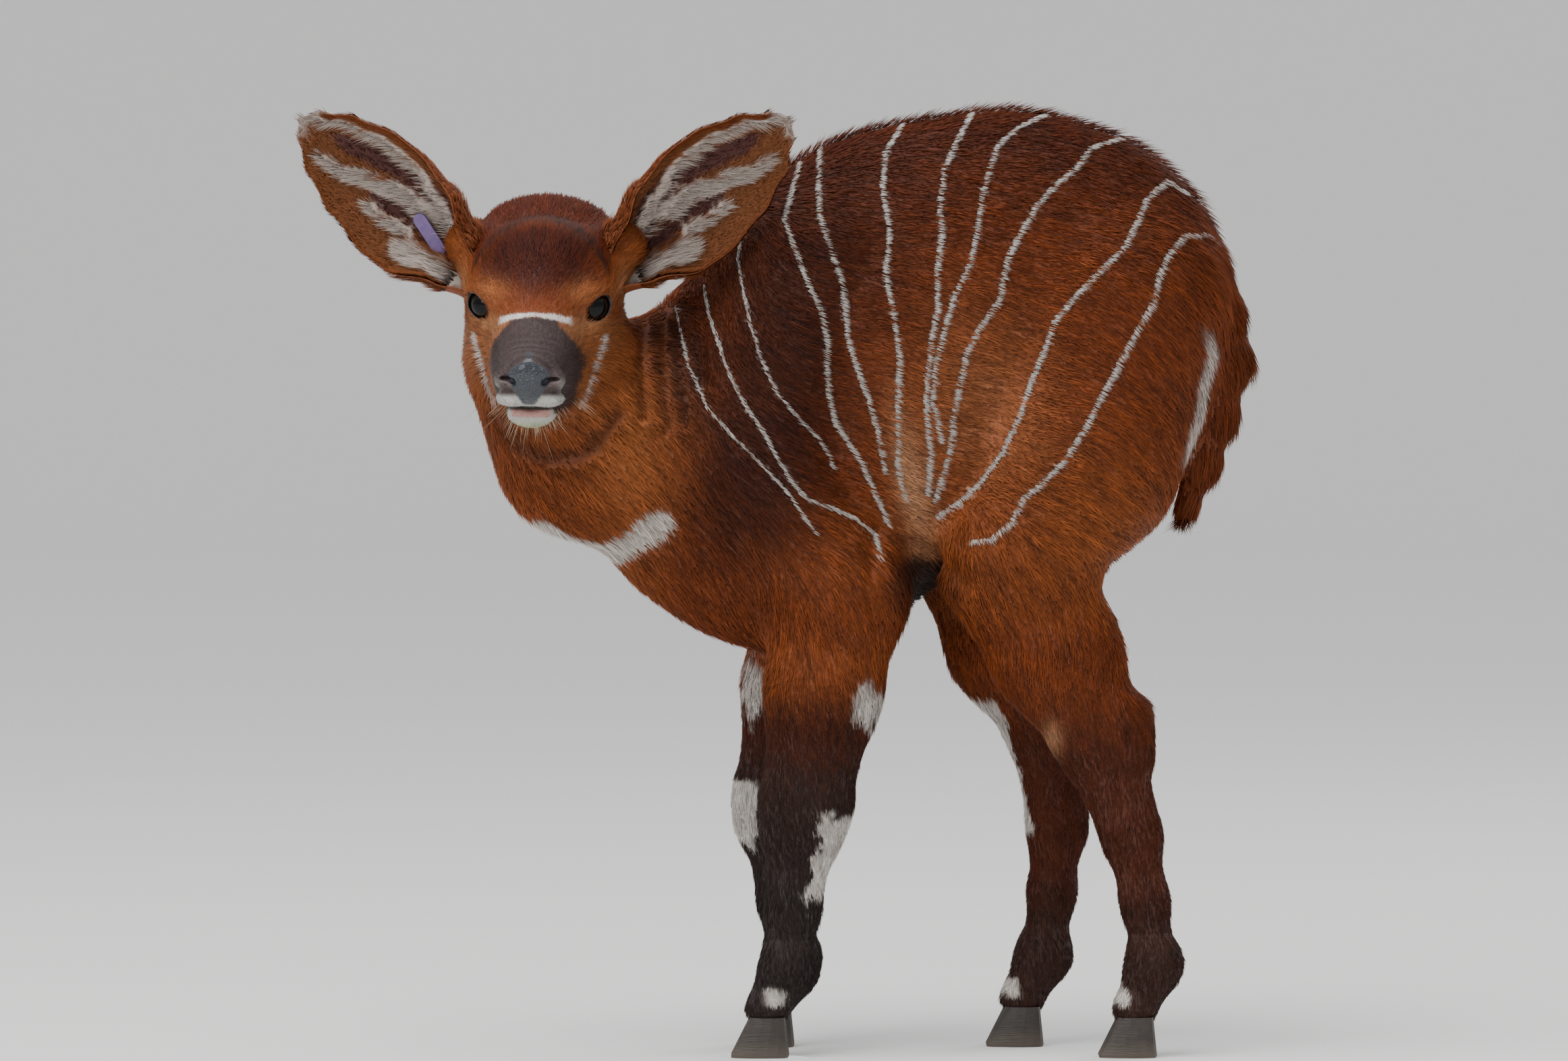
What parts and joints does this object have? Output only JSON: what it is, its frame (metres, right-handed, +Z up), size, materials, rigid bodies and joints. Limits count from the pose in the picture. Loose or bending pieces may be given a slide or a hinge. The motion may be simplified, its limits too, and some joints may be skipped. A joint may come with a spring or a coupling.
{
  "type": "bongo antelope calf, still life-size model",
  "caption": "Life-size still model of a striped chestnut forest antelope calf standing with its head turned to the viewer, large ears spread.",
  "frame": {"origin": "on the floor under the middle of the model's own box", "axes": "+Z up, the body faces -X, and the head is turned to -Y, which is the animal's own left"},
  "size_m": [0.7102, 0.3188, 0.699],
  "materials": {
    "coat": "short chestnut hair with thin white stripes",
    "coat_dark": "dark chestnut tail hair",
    "leg_coat": "short dark brown hair with white patches",
    "ear_skin": "short hair over thin skin",
    "eye": "wet, clear and dark",
    "hoof": "dark horn, slightly polished",
    "tag": "flexible purple plastic, bare"
  },
  "bodies": {
    "root": {"torso": "coat", "neck": "coat", "head": "coat", "ear_left": "ear_skin", "ear_right": "ear_skin", "eye_left": "eye", "eye_right": "eye", "ear_tag": "tag", "tail": "coat_dark", "foreleg_left": "leg_coat", "foreleg_right": "leg_coat", "hindleg_left": "leg_coat", "hindleg_right": "leg_coat", "hoof_fore_left_inner": "hoof", "hoof_fore_left_outer": "hoof", "hoof_fore_right_inner": "hoof", "hoof_fore_right_outer": "hoof", "hoof_hind_left_inner": "hoof", "hoof_hind_left_outer": "hoof", "hoof_hind_right_inner": "hoof", "hoof_hind_right_outer": "hoof"}
  },
  "joints": []
}
